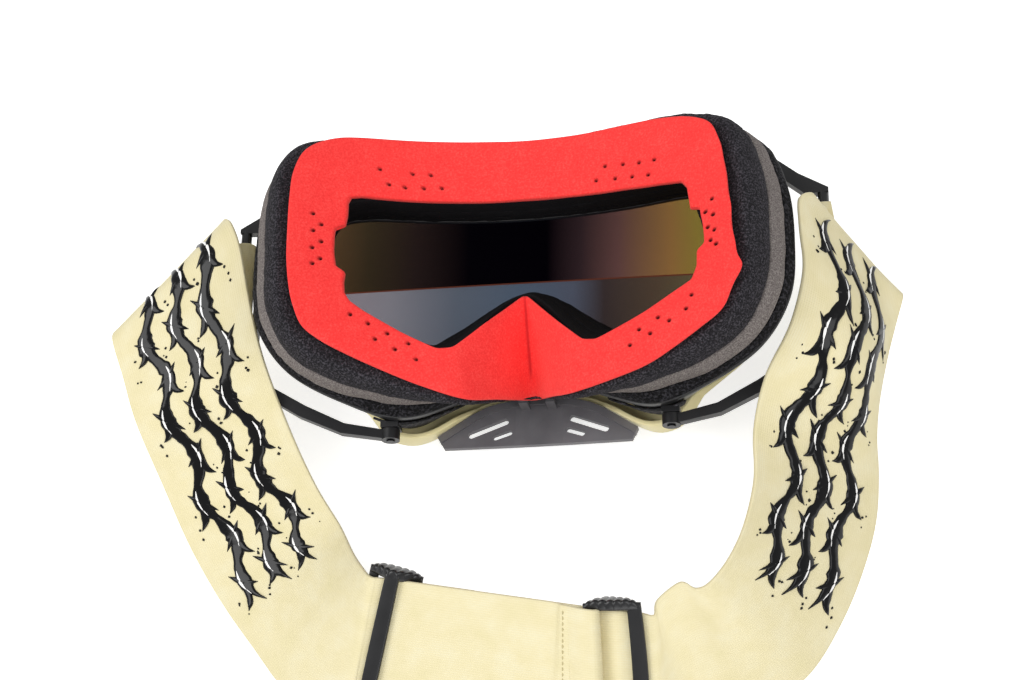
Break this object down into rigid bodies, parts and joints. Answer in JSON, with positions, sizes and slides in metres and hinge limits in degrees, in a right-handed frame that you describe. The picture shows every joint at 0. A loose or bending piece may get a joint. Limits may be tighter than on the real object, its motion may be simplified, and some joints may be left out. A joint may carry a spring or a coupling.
{
  "type": "motocross goggles",
  "caption": "Motocross goggles with a cylindrical lens, layered face foam, nose guard, hinged outriggers and an adjustable elastic strap looped in front.",
  "frame": {"origin": "bottom centre of the whole part's box, on the table that the goggles and strap lie on", "axes": "+X along the goggles' width, to the right in the picture; +Y up the goggles, from the nose to the brow; +Z from the table and the lens towards the face"},
  "size_m": [0.263, 0.22, 0.0733],
  "materials": {
    "cream_frame": "satin moulded polyurethane",
    "black_frame": "satin moulded thermoplastic",
    "lens": "polished polycarbonate with a faint mirror coat",
    "rubber": "matte",
    "base_foam": "open-cell polyurethane foam",
    "grey_foam": "fine open-cell foam",
    "charcoal_foam": "fine soft foam",
    "red_fleece": "brushed fleece",
    "vent_foam": "coarse filter foam",
    "guard_plastic": "fine satin texture",
    "steel": "plain ground pin",
    "strap_elastic": "fine knitted elastic webbing",
    "silicone": "glossy silicone",
    "slider_plastic": "glossy moulded nylon"
  },
  "bodies": {
    "goggle": {"outer_frame": "cream_frame", "inner_frame": "black_frame", "lens": "lens", "lens_seal": "rubber", "foam_base": "base_foam", "foam_middle": "grey_foam", "foam_top": "charcoal_foam", "face_fleece": "red_fleece", "vent_foam_top": "vent_foam", "vent_foam_low": "vent_foam", "arm_clips": "black_frame", "hinge_pins": "steel", "tear_off_posts": "black_frame", "strap_left": "strap_elastic", "strap_right": "strap_elastic", "strap_grip_left": "silicone", "strap_grip_right": "silicone", "strap_print_left": "silicone", "strap_print_right": "silicone"},
    "outrigger_left": {"outrigger_left": "black_frame"},
    "outrigger_right": {"outrigger_right": "black_frame"},
    "nose_guard": {"nose_guard": "guard_plastic"},
    "slider_left": {"slider_left": "slider_plastic"},
    "slider_right": {"slider_right": "slider_plastic"}
  },
  "joints": [
    {"name": "outrigger_left_hinge", "type": "hinge", "parent": "goggle", "child": "outrigger_left", "pos_m": [-0.03608, 0.03159, 0.0254], "axis": [0, 1, 0], "range_deg": [-8, 4], "deforming": ["strap_left"]},
    {"name": "outrigger_right_hinge", "type": "hinge", "parent": "goggle", "child": "outrigger_right", "pos_m": [0.05592, 0.03159, 0.0254], "axis": [0, -1, 0], "range_deg": [-8, 4], "deforming": ["strap_right"]},
    {"name": "nose_guard_pull", "type": "slide", "parent": "goggle", "child": "nose_guard", "axis": [0, -1, 0], "range_m": [0, 0.015]},
    {"name": "slider_left_slide", "type": "slide", "parent": "goggle", "child": "slider_left", "axis": [0.9836, -0.1805, 0], "range_m": [-0.01, 0.02]},
    {"name": "slider_right_slide", "type": "slide", "parent": "goggle", "child": "slider_right", "axis": [0.9836, -0.1805, 0], "range_m": [-0.02, 0.01]}
  ],
  "couplings": [
    {"joint": "slider_right_slide", "follows": "slider_left_slide", "ratio": -1}
  ]
}
